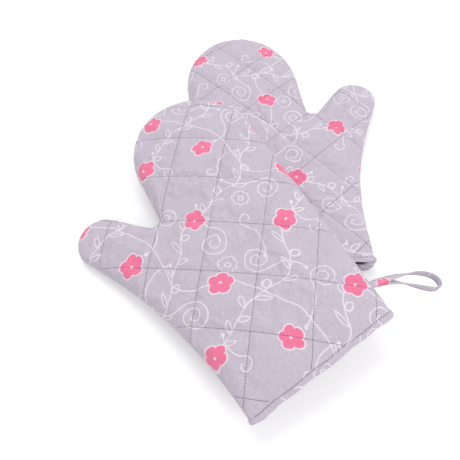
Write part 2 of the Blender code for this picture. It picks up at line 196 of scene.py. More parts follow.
def outline():
    """The sewn edge from the straight side's cuff corner over the fingers and round the thumb."""
    rows = [(np.array([0, CUFF_SLANT]), np.array([-1.0, 0.0]))]
    rows += straight((0, CUFF_SLANT), (0, HAND_LENGTH))
    for angle in np.linspace(0, pi, 400)[1:]:
        across = HAND_WIDTH / 2 * (cos(angle) - 1)
        point = np.array([across, HAND_LENGTH + FINGER_ROUND * sin(angle)])
        slope = np.array([cos(angle) / (HAND_WIDTH / 2), sin(angle) / FINGER_ROUND])
        rows.append((point, -slope / hypot(*slope)))
    crotch = np.array([-HAND_WIDTH - CROTCH_RADIUS, CROTCH_HEIGHT + CROTCH_RADIUS])
    thumb = np.array([-HAND_WIDTH - THUMB_REACH, THUMB_HEIGHT])
    between = thumb - crotch
    turn = asin((CROTCH_RADIUS + THUMB_RADIUS) / hypot(*between))
    touch = atan2(between[1], between[0]) - turn - pi / 2
    rows += straight(rows[-1][0], crotch + (CROTCH_RADIUS, 0))
    rows += arc(crotch, CROTCH_RADIUS, 0, touch - pi, 1)
    rows += straight(rows[-1][0], thumb + THUMB_RADIUS * np.array([cos(touch), sin(touch)]))
    corner = np.array([-CUFF_WIDTH, 0])
    reach = hypot(*(corner - thumb))
    far = THUMB_SIDE_RADIUS + THUMB_RADIUS
    bend = acos((far ** 2 + reach ** 2 - THUMB_SIDE_RADIUS ** 2) / (2 * far * reach))
    side_angle = atan2(*(corner - thumb)[::-1]) - bend
    side = thumb + far * np.array([cos(side_angle), sin(side_angle)])
    rows += arc(thumb, THUMB_RADIUS, touch, side_angle % tau, -1)
    start, end = (atan2(*(point - side)[::-1]) for point in (thumb, corner))
    rows += arc(side, THUMB_SIDE_RADIUS, start, end, 1)
    return np.array([row[0] for row in rows]), np.array([row[1] for row in rows])


def lengths_along(track):
    """How far each point of a track lies from its first one, measured along it."""
    return np.append(0, np.cumsum(np.linalg.norm(np.diff(track, axis=0), axis=1)))


EDGE, EDGE_NORMALS = outline()
CUFF_START, CUFF_END = EDGE[0], EDGE[-1]
CUFF_RUN = (CUFF_END - CUFF_START) / hypot(*(CUFF_END - CUFF_START))
CUFF_OUT = np.array([CUFF_RUN[1], -CUFF_RUN[0]]) * np.sign(CUFF_RUN[0])
print("sewn edge:", len(EDGE), "points,", round(lengths_along(EDGE)[-1] / MM), "mm long")


# %% Distances on the pattern
def nearest_edge(points):
    """For each point: distance to the sewn edge, and the foot and normal of that distance."""
    points = np.asarray(points, float)
    best = np.array([np.argmin(((EDGE - point) ** 2).sum(1)) for point in points])
    normals = EDGE_NORMALS[best]
    inside = ((points - EDGE[best]) * normals).sum(1)
    return abs(inside), points - normals * inside[:, None], normals


def above_cuff(points):
    """Distance of points from the cuff line, into the mitt."""
    return (CUFF_START - np.asarray(points)) @ CUFF_OUT


def to_line(points):
    """Distance of points from the nearest quilting line."""
    offsets = np.asarray(points) - QUILT_CROSSING
    ways = np.stack([offsets @ FIRST_WAY, offsets @ SECOND_WAY]) / QUILT_CELL
    return np.abs(ways - np.round(ways)).min(0) * QUILT_CELL


def smooth(share):
    """A share from 0 to 1, eased at both ends."""
    share = np.clip(share, 0, 1)
    return share * share * (3 - 2 * share)


# %% [markdown]
# ## The net of a panel
# The cloth solver and the quilting both need an even net whose points lie on the quilting
# lines. A regular lattice fills the middle, rings follow the rounded side, each ring also gets
# a point where a quilting line crosses it, and a Delaunay net joins them all.

# %% Panel net
def ring(inset, step):
    """Points along the edge moved into the cloth, evenly apart, with its quilting crossings."""
    track = EDGE + EDGE_NORMALS * inset
    lengths = lengths_along(track)
    count = max(4, round(lengths[-1] / step))
    stops = list(np.linspace(0, lengths[-1], count + 1))
    offsets = track - QUILT_CROSSING
    crossings = []
    for way in (FIRST_WAY, SECOND_WAY):
        value = offsets @ way / QUILT_CELL
        change = np.nonzero(np.floor(value[1:]) != np.floor(value[:-1]))[0]
        for i in change:
            line = max(np.floor(value[i]), np.floor(value[i + 1]))
            share = (line - value[i]) / (value[i + 1] - value[i])
            crossings.append(lengths[i] + share * (lengths[i + 1] - lengths[i]))
    ends = (0, lengths[-1])
    crossings = [c for c in crossings if 0 < c < lengths[-1]]
    stops = [s for s in stops if s in ends or all(abs(s - c) > step * 0.5 for c in crossings)]
    stops = np.array(sorted(stops + crossings))
    return np.stack([np.interp(stops, lengths, track[:, axis]) for axis in (0, 1)], 1)


def panel_net(step, angles):
    """Plan points and triangles of a panel."""
    rings = []
    for angle in angles:
        points = ring(EDGE_ROUND * (1 - cos(angle)), step)
        rings.append(points if angle == 0 else points[above_cuff(points) > step * 0.6])
    cuff_length = hypot(*(CUFF_END - CUFF_START))
    count = round(cuff_length / step)
    cuff = [CUFF_START + (CUFF_END - CUFF_START) * i / count for i in range(1, count)]
    reach = int((HAND_LENGTH + FINGER_ROUND) / step)
    span = range(-reach, reach + 1)
    i, j = (grid.ravel() for grid in np.meshgrid(span, span))
    field = QUILT_CROSSING + step * (i[:, None] * FIRST_WAY + j[:, None] * SECOND_WAY)
    near = (field[:, 0] < 0) & (field[:, 0] > -HAND_WIDTH - THUMB_REACH - THUMB_RADIUS)
    near &= (field[:, 1] < HAND_LENGTH + FINGER_ROUND) & (above_cuff(field) > step * 0.6)
    field = field[near]
    distance, foot, normal = nearest_edge(field)
    within = ((field - foot) * normal).sum(1) > 0
    field = field[within & (distance > EDGE_ROUND + step * 0.5)]
    rim = list(range(len(rings[0]) + len(cuff)))
    points = np.vstack([rings[0], np.array(cuff)[::-1]] + rings[1:] + [field])
    result = delaunay_2d_cdt([Vector(p) for p in points], [], [rim], 1, 1e-7)
    order = [origins[0] for origins in result[3]]
    faces = [[order[i] for i in face] for face in result[2]]
    return points, faces, rim, len(rings[0])


FINE_STEP = QUILT_CELL / 16
FINE_RINGS, COARSE_RINGS = np.radians([0, 14, 28, 42, 56, 72, 90]), np.radians([0, 30, 60, 90])
PLAN, PLAN_FACES, PLAN_RIM, EDGE_COUNT = panel_net(FINE_STEP, FINE_RINGS)
COARSE_PLAN, COARSE_FACES, COARSE_RIM = panel_net(2 * FINE_STEP, COARSE_RINGS)[:3]
print("fine net:", len(PLAN), "points;", "coarse net:", len(COARSE_PLAN), "points")


# %% From the pattern to the padded form
def padded_form(plan, depth, face, extra=0.0, trim=0.0):
    """Places plan points on the surface that lies depth inside the padded mitt.

    The side rolls over a quarter ellipse to the seam, the back has a low crown, and the cuff is
    pinched a little by its binding. A trimmed layer ends short of the seam. Gives the points and
    the cloth coordinates for the print.
    """
    distance, foot, normal = nearest_edge(plan)
    share = np.clip(trim / EDGE_ROUND + distance / EDGE_ROUND * (1 - trim / EDGE_ROUND), 0, 1)
    angle = np.arccos(1 - share)
    moved = foot + normal * (depth + (EDGE_ROUND - depth) * share)[:, None]
    spot = np.where((distance < EDGE_ROUND)[:, None], moved, plan)
    pinch = CUFF_PINCH * smooth(2 - above_cuff(plan) / CUFF_ROW)
    rise = HALF_THICKNESS - pinch - depth
    if face == "back":
        bulge = np.clip((distance - EDGE_ROUND) / CROWN_SPAN, 0, 1)
        rise = rise + CROWN * (1 - (1 - bulge) ** 2)
    seam = SEAM_GAP / 2 if depth else SEAM_GAP / 8
    height = rise * np.sin(angle) + seam + extra * np.sin(angle)
    roll = (EDGE_ROUND + HALF_THICKNESS) / 2 * (pi / 2 - angle)
    rolled = foot + normal * EDGE_ROUND - normal * roll[:, None]
    flat = np.where((distance < EDGE_ROUND)[:, None], rolled, plan)
    upward = 1 if face == "back" else -1
    return np.column_stack([spot, upward * height]), flat


def new_object(name, points, faces, flip=False):
    """A mesh object at the origin, with its outward side turned if flip is set."""
    mesh = bpy.data.meshes.new(name)
    mesh.from_pydata([tuple(p) for p in points], [], [f[::-1] if flip else f for f in faces])
    mesh.shade_smooth()
    made = bpy.data.objects.new(name, mesh)
    bpy.context.collection.objects.link(made)
    return made


def closed_layer(name, outer, inner, faces, rim, flip):
    """A layer of cloth: two sheets of the same net, joined round a rim that stays crisp."""
    size = len(outer)
    shell = [tuple(face) for face in faces]
    shell += [tuple(i + size for i in face[::-1]) for face in faces]
    turns = list(zip(rim, rim[1:] + rim[:1]))
    shell += [(j, i, i + size, j + size) for i, j in turns]
    made = new_object(name, np.vstack([outer, inner]), shell, flip)
    # Without a crease the subdivision rounds the rim off, and the two panels gape at their seam
    crisp = {(min(pair) + sheet, max(pair) + sheet) for pair in turns for sheet in (0, size)}
    crease = made.data.attributes.new("crease_edge", "FLOAT", "EDGE")
    for edge in made.data.edges:
        if tuple(sorted(edge.vertices)) in crisp:
            crease.data[edge.index].value = 1.0
            edge.use_edge_sharp = True
    return made


def points_of(made):
    """Vertex places of a mesh object as an array."""
    flat = np.empty(len(made.data.vertices) * 3)
    made.data.vertices.foreach_get("co", flat)
    return flat.reshape(-1, 3)


def apply_modifier(made, modifier):
    """Applies a modifier of a mesh object, alone selected and active."""
    bpy.ops.object.select_all(action="DESELECT")
    bpy.context.view_layer.objects.active = made
    made.select_set(True)
    bpy.ops.object.modifier_apply(modifier=modifier.name)


# %% [markdown]
# ## Puffing up the cotton
# Between the quilting lines the wadding pushes the cotton up, and the spare cloth gathers in
# small puckers beside the stitches. Moving points by hand looks too even, so the cloth solver
# does it: the lines and the seam are pinned, the cloth is cut a little too large, and a light
# pressure stands for the wadding. What the solver gives is then scaled to the height that the
# wadding really has, which keeps the cotton clear of its neighbours.

# %% Cloth solver on one panel
SLACK = 0.030
PRESSURE = 3.2
PUFF_FRAMES = 24
BINDING_OUTSIDE, BINDING_INSIDE, BINDING_CLOTH = 0.0032, 0.0018, 0.0008


def puffed(face):
    """The outer cotton of one face: start, push outwards and along, normals, cloth map."""
    start, flat = padded_form(PLAN, 0, face, -QUILT_DEPTH)
    panel = new_object("panel_" + face, start, PLAN_FACES, face == "palm")
    normals = np.array([tuple(v.normal) for v in panel.data.vertices])
    held = np.exp(-(to_line(PLAN) / (0.7 * MM)) ** 2)
    held[:EDGE_COUNT] = 1
    held[above_cuff(PLAN) < BINDING_OUTSIDE + 0.3 * MM] = 1
    group = panel.vertex_groups.new(name="sewn")
    for i, weight in enumerate(held):
        if weight > 0.02:
            group.add([i], float(weight), "REPLACE")
    modifier = panel.modifiers.new("cloth", "CLOTH")
    cloth = modifier.settings
    cloth.quality = 6
    cloth.mass = 0.15
    cloth.tension_stiffness = cloth.compression_stiffness = 18
    cloth.shear_stiffness = 6
    cloth.bending_stiffness = 0.05
    cloth.air_damping = 2
    cloth.vertex_group_mass = "sewn"
    cloth.pin_stiffness = 5
    cloth.shrink_min = -SLACK
    cloth.use_pressure = True
    cloth.uniform_pressure_force = PRESSURE
    cloth.effector_weights.gravity = 0
    modifier.collision_settings.use_collision = False
    modifier.point_cache.frame_end = PUFF_FRAMES
    for step in range(1, PUFF_FRAMES + 1):
        bpy.context.scene.frame_set(step)
    apply_modifier(panel, modifier)
    moved = points_of(panel) - start
    bpy.context.scene.frame_set(1)
    bpy.data.objects.remove(panel)
    out = (moved * normals).sum(1)
    along = moved - out[:, None] * normals
    length = np.linalg.norm(along, axis=1, keepdims=True)
    along *= np.minimum(1, MM / np.maximum(length, 1e-9))
    pads = (to_line(PLAN) > QUILT_CELL * 0.3) & (nearest_edge(PLAN)[0] > EDGE_ROUND)
    usual = np.median(out[pads])
    print(face, "puffed by", round(usual / MM, 2), "mm, up to", round(out.max() / MM, 2), "mm")
    return start, np.clip(out / usual, -0.2, 1.15), along, normals, flat


COTTON = {face: puffed(face) for face in ("back", "palm")}

# %% [markdown]
# ## Laying the mitts down
# The left mitt lies flat, its cuff spread a little on the thumb side. The right one leans on it,
# turned, with its thumb, cuff and finger end sinking towards the table. These are the same
# gentle bends as in the plain model, so one function takes every piece to its place. It also
# does what a sewing machine does to a cuff: the binding presses the layers thin, and they draw
# in a little wherever a quilting line runs out.

# %% Placing
PIVOT = np.array([-0.067, 0.1587])
THUMB_SAG, THUMB_SAG_START, CUFF_SAG, CUFF_SAG_START = 0.013, 0.030, 0.004, 0.090
FINGER_SAG, FINGER_TUCK, FINGER_SAG_START = 0.002, 0.0065, 0.190
CUFF_FLARE, CUFF_FLARE_RISE, CUFF_FLARE_START = 0.008, 0.0045, 0.105
INNER_LEVEL, OUTER_LEVEL = 0.0020, 0.0075
CUFF_PRESS, CUFF_PRESS_START = {"left": 0.66, "right": 0.5}, 0.018
CUFF_GATHER, CUFF_GATHER_START = 0.0011, 0.014
MOUTH_SHUT, MOUTH_SHUT_START = 0.42, 0.080
LIPS, LIPS_START = {"left": (0.0022, 0.0034), "right": (0.0022, -0.0026)}, 0.035
BODIES = {
    "left": Matrix.Translation((0.011493, 0.063341, 0.01015))
    @ Matrix.Rotation(radians(8.4), 4, "Z"),
    "right": Matrix.Translation((-0.020707, -0.045059, 0.032987))
    @ Matrix.Rotation(radians(27.5), 4, "Z")
    @ Matrix.Rotation(radians(-5.0), 4, "Y")
    @ Matrix.Rotation(radians(-2.0), 4, "X"),
}


def press_cuff(points, side):
    """Thins the layers at the cuff, draws it in at the quilting, and sets how its lips lie.

    The left mitt stays open, so its layers press outwards. The right one lies shut.
    """
    spots, z = points[:, :2], points[:, 2]
    above = above_cuff(spots)
    level = OUTER_LEVEL if side == "left" else INNER_LEVEL
    press = CUFF_PRESS[side] * smooth(1 - above / CUFF_PRESS_START) * smooth(abs(z) / INNER_LEVEL)
    gather = np.exp(-(to_line(spots) / (7 * MM)) ** 2) * smooth(1 - above / CUFF_GATHER_START)
    upper, lower = LIPS[side]
    lips = np.where(z > 0, upper, lower) * smooth(abs(z) / OUTER_LEVEL)
    lips = lips * smooth(1 - above / LIPS_START)
    spots = spots + CUFF_OUT * (lips - CUFF_GATHER * gather)[:, None]
    z = np.sign(z) * (abs(z) + (level - abs(z)) * press) * (1 - 0.1 * gather)
    if side == "right":
        z = z * (1 - MOUTH_SHUT * smooth(1 - above / MOUTH_SHUT_START))
    return spots[:, 0], spots[:, 1], z


def bend(points, side):
    """Points of the pattern frame in the frame of the left or the right mitt."""
    x, y, z = press_cuff(np.asarray(points, float), side)
    if side == "right":
        thumb = np.maximum(0, -x - THUMB_SAG_START)
        thumb = thumb / (HAND_WIDTH + THUMB_REACH + THUMB_RADIUS - THUMB_SAG_START)
        cuff = np.maximum(0, CUFF_SAG_START - y) / CUFF_SAG_START
        fingers = np.maximum(0, y - FINGER_SAG_START)
        fingers = fingers / (HAND_LENGTH + FINGER_ROUND - FINGER_SAG_START)
        z = z - THUMB_SAG * thumb ** 2 - CUFF_SAG * cuff ** 2 - FINGER_SAG * fingers ** 2
        return np.column_stack([x - PIVOT[0], y - PIVOT[1] - FINGER_TUCK * fingers ** 2, z])
    spread = smooth((CUFF_FLARE_START - y) / CUFF_FLARE_START) * -x / CUFF_WIDTH
    x = PIVOT[0] - x + CUFF_FLARE * spread
    return np.column_stack([x, y - PIVOT[1] + CUFF_FLARE_RISE * spread, z])


def lay(points, side):
    """Points of the pattern frame where the left or the right mitt lies."""
    matrix = np.array(BODIES[side])
    return bend(points, side) @ matrix[:3, :3].T + matrix[:3, 3]


PUFF = {"back": 2.3 * MM, "palm": 1.05 * MM}


def puffed_cotton(side, face):
    """Both sheets of a puffed panel where it lies. Under the other mitt it puffs up less."""
    start, out, along, normals, flat = COTTON[face]
    height = np.full(len(start), PUFF[face])
    if (side, face) == ("left", "back"):
        # From nine millimetres below the other mitt on, it has less and less room to puff up
        over = [tuple(p) for p in lay(COTTON["palm"][0], "right")]
        above = BVHTree.FromPolygons(over, PLAN_FACES)
        clear = np.array([above.find_nearest(Vector(p))[3] for p in lay(start, "left")])
        height = PUFF["palm"] + (height - PUFF["palm"]) * smooth(clear / (9 * MM) - 0.3)
    outer = start + along + (out * height)[:, None] * normals
    inner = outer - OUTER_CLOTH * normals
    upward = np.sign(start[:, 2])
    inner[:, 2] = upward * np.maximum(inner[:, 2] * upward, SEAM_GAP / 8)
    return lay(outer, side), lay(inner, side), flat


def cloth_map(made, flat_points):
    """Gives a mesh a UV map in metres of flat cloth, one coordinate pair per vertex."""
    layer = made.data.uv_layers.new(name="cloth")
    corners = np.empty(len(made.data.loops), int)
    made.data.loops.foreach_get("vertex_index", corners)
    layer.data.foreach_set("uv", np.asarray(flat_points)[corners].ravel())


# %% [markdown]
# ## Printed cotton
# The cloth is a plain-woven cotton, dyed lilac-grey and printed in two colours. Plain weave
# scatters light, so it is rough with a faint sheen, and its threads give a fine grain. The print
# is a generic one: leafy vines, tendrils with buds, daisies in pale line, and solid pink
# blossoms. Each motif is a distance measured in millimetres of cloth and turned into a line or
# a fill, and a wrap repeats it like a printing roller.

# %% Colours of the cloth
LILAC, LILAC_SHADE, PALE_INK, PINK_INK = "DBD0DE", "C1B6C6", "F3EFF8", "FC7AA2"
ROLLER = (128.0, 144.0, 0.0)
LINE_HALF = 0.5


# %% Helpers for the print
def heaviest(tree, masks):
    """The largest of several masks at each point."""
    result = masks[0]
    for mask in masks[1:]:
        result = add(tree, "Math MAXIMUM", result, mask)
    return result


def ink(tree, distance, half=LINE_HALF):
    """1 where a distance is less than half a line, with an edge as soft as ink on cloth."""
    return add(tree, "MapRange", distance, half - 0.22, half + 0.22, 1.0, 0.0)[0]


def repeat(tree, cloth, place, turn):
    """Millimetres from the nearest copy of a motif: its vector, and its two coordinates."""
    offset = add(tree, "VectorMath SUBTRACT", cloth, (*place, 0))[0]
    half = tuple(size / 2 for size in ROLLER)
    offset = add(tree, "VectorMath WRAP", offset, half, tuple(-size for size in half))[0]
    offset = add(tree, "VectorRotate", offset, None, None, radians(turn), rotation_type="Z_AXIS")
    parts = add(tree, "SeparateXYZ", offset)
    return offset, parts[0], parts[1]


# %% Vines and leaves
def leaf(tree, along, across, half_length, half_width):
    """How far a point lies outside a pointed leaf, from its places along and across it."""
    radius = (half_length ** 2 + half_width ** 2) / (2 * half_width)
    aside = add(tree, "Math ADD", add(tree, "Math ABSOLUTE", across), radius - half_width)
    reach = add(tree, "Math MULTIPLY_ADD", along, along, add(tree, "Math MULTIPLY", aside, aside))
    return add(tree, "Math SUBTRACT", add(tree, "Math SQRT", reach), radius)


def vine(tree, cloth, place, waves, way, leaves):
    """A line that wanders along the cloth, with a number of leaves on each side of it."""
    parts = add(tree, "SeparateXYZ", cloth)
    run, cross = (parts[0], parts[1]) if way == "x" else (parts[1], parts[0])
    length, width = (ROLLER[0], ROLLER[1]) if way == "x" else (ROLLER[1], ROLLER[0])
    slope, height = None, add(tree, "Math SUBTRACT", cross, place)
    for reach, count, phase in waves:
        angle = add(tree, "Math MULTIPLY_ADD", run, tau * count / length, phase)
        height = add(tree, "Math MULTIPLY_ADD", add(tree, "Math SINE", angle), -reach, height)
        part = add(tree, "Math COSINE", angle)
        part = add(tree, "Math MULTIPLY", part, reach * tau * count / length)
        slope = part if slope is None else add(tree, "Math ADD", slope, part)
    height = add(tree, "Math WRAP", height, width / 2, -width / 2)
    # Where the vine runs steeply its height is divided, so that the line stays even
    steepness = add(tree, "Math SQRT", add(tree, "Math MULTIPLY_ADD", slope, slope, 1.0))
    height = add(tree, "Math DIVIDE", height, steepness)
    side = add(tree, "Math ABSOLUTE", height)
    stem = ink(tree, side)
    if not leaves:
        return stem
    step = length / leaves
    above = add(tree, "Math GREATER_THAN", height, 0.0)
    turned = add(tree, "Math MULTIPLY_ADD", above, step / 2, run)
    local = add(tree, "Math WRAP", turned, step / 2, -step / 2)
    up = add(tree, "Math SUBTRACT", side, 4.0)
    along = add(tree, "Math MULTIPLY", add(tree, "Math ADD", local, up), cos(pi / 4))
    across = add(tree, "Math MULTIPLY", add(tree, "Math SUBTRACT", up, local), cos(pi / 4))
    edge = leaf(tree, along, across, 4.8, 2.0)
    return add(tree, "Math MAXIMUM", stem, ink(tree, add(tree, "Math ABSOLUTE", edge)))


# %% Tendrils and flowers
def tendril(tree, cloth, place, turn, pitch, rounds, swing, sweep):
    """A spiral that runs on into an arc the other way and ends in a bud."""
    offset, x, y = repeat(tree, cloth, place, turn)
    reach = add(tree, "VectorMath LENGTH", offset)["Value"]
    turns = add(tree, "Math DIVIDE", add(tree, "Math ARCTAN2", y, x), tau)
    wound = add(tree, "Math SUBTRACT", add(tree, "Math DIVIDE", reach, pitch), turns)
    index = add(tree, "Math ROUND", wound)
    gap = add(tree, "Math ABSOLUTE", add(tree, "Math SUBTRACT", wound, index))
    gap = add(tree, "Math MULTIPLY", gap, pitch)
    along = add(tree, "Math SUBTRACT", add(tree, "Math ADD", index, turns), (rounds + 0.4) / 2)
    drawn = add(tree, "Math LESS_THAN", add(tree, "Math ABSOLUTE", along), (rounds - 0.4) / 2)
    spiral = add(tree, "Math MULTIPLY", ink(tree, gap), drawn)
    # The arc starts where the spiral ends, in the direction in which the spiral leaves
    lean = atan2(1, tau * rounds)
    centre = np.array([swing * sin(lean), pitch * rounds + swing * cos(lean)])
    middle = -pi / 2 - lean - radians(sweep) / 2
    spoke = add(tree, "VectorMath SUBTRACT", offset, (*centre, 0))[0]
    spoke = add(tree, "VectorRotate", spoke, None, None, -middle, rotation_type="Z_AXIS")
    parts = add(tree, "SeparateXYZ", spoke)
    bearing = add(tree, "Math ARCTAN2", add(tree, "Math ABSOLUTE", parts[1]), parts[0])
    far = add(tree, "VectorMath LENGTH", spoke)["Value"]
    tail = ink(tree, add(tree, "Math ABSOLUTE", add(tree, "Math SUBTRACT", far, swing)))
    within = add(tree, "Math LESS_THAN", bearing, radians(sweep) / 2)
    tail = add(tree, "Math MULTIPLY", tail, within)
    last = middle - radians(sweep) / 2
    bud = centre + swing * np.array([cos(last), sin(last)])
    to_bud = add(tree, "VectorMath DISTANCE", offset, (*bud, 0))["Value"]
    return heaviest(tree, [spiral, tail, ink(tree, to_bud, 1.6)])


def petals(tree, cloth, place, turn, size, count, depth):
    """How far a point lies outside a flower with rounded petals, and from its middle."""
    offset, x, y = repeat(tree, cloth, place, turn)
    reach = add(tree, "VectorMath LENGTH", offset)["Value"]
    angle = add(tree, "Math MULTIPLY", add(tree, "Math ARCTAN2", y, x), count / 2)
    lobe = add(tree, "Math ABSOLUTE", add(tree, "Math COSINE", angle))
    lobe = add(tree, "Math POWER", lobe, 0.6)
    edge = add(tree, "Math MULTIPLY_ADD", lobe, size * depth, size * (1 - depth))
    return add(tree, "Math SUBTRACT", reach, edge), reach


# %% Cloth coordinates
cotton, tree, shader = new_material("plain woven printed cotton", Roughness=0.92)
shader.inputs["Sheen Weight"].default_value = 0.25
shader.inputs["Sheen Roughness"].default_value = 0.6
shader.inputs["Specular IOR Level"].default_value = 0.3
uv = add(tree, "UVMap", uv_map="cloth")
cloth = add(tree, "VectorMath MULTIPLY", uv, (1000, 1000, 0))[0]

# The screen isn't cut with a ruler: a slow noise lets every line waver by a millimetre or two
waver = add(tree, "TexNoise", cloth, None, 1 / 38, 1.0)["Color"]
waver = add(tree, "VectorMath SUBTRACT", waver, (0.5, 0.5, 0.5))[0]
drawn = add(tree, "VectorMath MULTIPLY_ADD", waver, (9, 9, 0), cloth)[0]

# %% Motifs on the roller
VINES = [
    (20, ((10, 1, 0.4), (3.5, 2, 2.0)), "x", 6),
    (92, ((9, 1, 3.3), (3, 3, 0.6)), "x", 6),
    (60, ((13, 1, 1.2), (4, 2, 4.0)), "y", 0),
]
TENDRILS = [
    ((30, 56), 20, 5.4, 2.25, 24, 80), ((92, 34), 205, 5.2, 2.25, 24, 75),
    ((90, 74), 80, 5.6, 2.25, 28, 70), ((98, 124), 300, 5.2, 2.25, 24, 80),
    ((26, 108), 140, 5.0, 1.25, 20, 90), ((120, 58), 250, 5.0, 1.25, 22, 90),
    ((12, 4), 60, 5.0, 1.25, 20, 80),
]
DAISIES = [((78, 54), 0), ((10, 71), 20)]
BLOSSOMS = [((8, 28), 10), ((60, 50), 50), ((104, 99), 0), ((46, 128), 30)]

lines = [vine(tree, drawn, *settings) for settings in VINES]
lines += [tendril(tree, drawn, *settings) for settings in TENDRILS]
for place, turn in DAISIES:
    outside, reach = petals(tree, drawn, place, turn, 7.6, 8, 0.22)
    lines.append(ink(tree, add(tree, "Math ABSOLUTE", outside)))
    lines.append(ink(tree, add(tree, "Math ABSOLUTE", add(tree, "Math SUBTRACT", reach, 2.1))))

# Blossoms are printed last: their pale rim knocks out the lines that would run through them
fills, rims, knocked = [], [], []
for place, turn in BLOSSOMS:
    outside, reach = petals(tree, drawn, place, turn, 9.8, 5, 0.3)
    fills.append(ink(tree, outside, 0.0))
    knocked.append(ink(tree, outside, 1.0))
    from_rim = add(tree, "Math ABSOLUTE", add(tree, "Math SUBTRACT", outside, 0.4))
    rims.append(ink(tree, from_rim, 0.6))
    rims.append(ink(tree, reach, 1.2))

pink = heaviest(tree, fills)
around = add(tree, "Math SUBTRACT", 1.0, heaviest(tree, knocked))
pale = heaviest(tree, [add(tree, "Math MULTIPLY", heaviest(tree, lines), around)] + rims)
print("print motifs:", len(lines), "line masks,", len(fills), "fills")

# %% Weave and ink
# Thread pitch is 0.4 mm on the real cloth; it is drawn at 1.2 mm so that it shows from here
THREAD_PITCH = 1.2
threads = add(tree, "SeparateXYZ", cloth)
over = add(tree, "Math SINE", add(tree, "Math MULTIPLY", threads[0], tau / THREAD_PITCH))
under = add(tree, "Math SINE", add(tree, "Math MULTIPLY", threads[1], tau / THREAD_PITCH))
weave = add(tree, "Math MULTIPLY", over, under)
slub = add(tree, "TexNoise", cloth, None, 0.42, 3.0, 0.7)["Fac"]
slub = add(tree, "MapRange", slub, 0.28, 0.72, 0.0, 1.0)[0]
cloudy = add(tree, "TexNoise", cloth, None, 0.035, 2.0)["Fac"]
grain = add(tree, "Math MULTIPLY_ADD", weave, 0.16, slub)
shade = add(tree, "Math MULTIPLY_ADD", cloudy, 0.3, add(tree, "Math MULTIPLY", grain, 0.7))
dyed = add(tree, "Mix", shade, *SKIPPED, linear(LILAC_SHADE), linear(LILAC), data_type="RGBA")[2]
share = add(tree, "Math MULTIPLY", pink, add(tree, "Math MULTIPLY_ADD", grain, 0.12, 0.9))
inked = add(tree, "Mix", share, *SKIPPED, dyed, linear(PINK_INK), data_type="RGBA")[2]
cover = add(tree, "Math MULTIPLY", pale, add(tree, "Math MULTIPLY_ADD", grain, 0.35, 0.65))
inked = add(tree, "Mix", cover, *SKIPPED, inked, linear(PALE_INK), data_type="RGBA")[2]
tree.links.new(inked, shader.inputs["Base Color"])
raised = add(tree, "Bump", 0.5, 0.0004, None, grain)
tree.links.new(raised, shader.inputs["Normal"])
print("cotton nodes:", len(tree.nodes))

# %% [markdown]
# ## Thread, lining and wadding
# The quilting thread is spun polyester, a dark aubergine with a slight gloss. The lining is an
# unprinted plain cotton in a dark mauve-grey that is partly its own colour and partly painted
# shade for the inside of the cuff mouth, and the wadding a matt mat of white polyester fibres.
# These read object coordinates, because no pattern on them has to follow the cut of the cloth.


# %% Other finishes
def fibre_material(name, pale_hex, dark_hex, roughness, scale, depth):
    """A plain textile finish: noise in fibre size mixes two tones and raises the surface."""
    made, tree, shader = new_material(name, Roughness=roughness)
    shader.inputs["Specular IOR Level"].default_value = 0.3
    place = add(tree, "TexCoord")["Object"]
    noise = add(tree, "TexNoise", place, None, scale, 3.0, 0.6)["Fac"]
    dark, pale = linear(dark_hex), linear(pale_hex)
    tones = add(tree, "Mix", noise, *SKIPPED, dark, pale, data_type="RGBA")[2]
    tree.links.new(tones, shader.inputs["Base Color"])
    raised = add(tree, "Bump", 0.5, depth, None, noise)
    tree.links.new(raised, shader.inputs["Normal"])
    return made


thread = fibre_material("spun polyester thread", "6A5A70", "43364A", 0.6, 2500, 0.00005)
# The lining tones are partly the cloth's own dark mauve-grey and partly painted shade for the cuff
# mouth
lining_cotton_with_painted_shade = fibre_material("plain lining cotton with painted shade", "665A60", "4C4248", 0.92, 900, 0.0003)
fibre = fibre_material("white fibre wadding", "F1EFEA", "DAD6CF", 0.95, 1400, 0.0006)
print("finishes:", [cotton.name, thread.name, lining_cotton_with_painted_shade.name, fibre.name])


# %% [markdown]
# ## Outer cotton panels
# Each panel is two sheets of one net, 0.8 mm apart as in a heavy printed cotton, joined round the
# rim, and one subdivision rounds its folds. Solidify would do the same, but not where the binding
# presses the cloth thin. The cloth coordinates start somewhere else on every panel, as when the
# pieces are cut from different places of one length of cloth.

# %% Outer panels
CUT_FROM = {("left", "back"): (0.31, 0.12, 0.35), ("left", "palm"): (0.71, 0.44, -0.2),
            ("right", "back"): (0.087, 0.052, -0.62), ("right", "palm"): (1.13, 0.27, 0.9)}


def finish_cloth(made, body, node, finish):
    """Rounds a cloth piece, gives it its finish, and enters it on its body."""
    rounding = made.modifiers.new("rounding", "SUBSURF")
    rounding.levels = rounding.render_levels = 1
    rounding.use_limit_surface = False
    apply_modifier(made, rounding)
    made.data.shade_smooth()
    made.data.materials.append(finish)
    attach(made, body)
    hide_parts(node)


outer_panels = {}
for (side, face), (from_x, from_y, turn) in CUT_FROM.items():
    laid, inner, flat = puffed_cotton(side, face)
    flip = (face == "palm") != (side == "left")
    panel = closed_layer(f"{side}_{face}_cotton", laid, inner, PLAN_FACES, PLAN_RIM, flip)
    mirrored = flat * (-1, 1) if side == "left" else flat
    spin = np.array([[cos(turn), -sin(turn)], [sin(turn), cos(turn)]])
    cloth_map(panel, np.tile(mirrored @ spin.T + (from_x, from_y), (2, 1)))
    finish_cloth(panel, side + "_mitt", f"{side}_{face}_outer_panel", cotton)
    outer_panels[side, face] = panel, laid
    print(panel.name, len(panel.data.polygons), "faces")

# %% [markdown]
# ## Wadding and lining
# Inside the cotton lie a soft fibre wadding and a plain lining. They show only through the cuff,
# but they are whole pieces. The lining puffs a little inwards between the quilting lines.

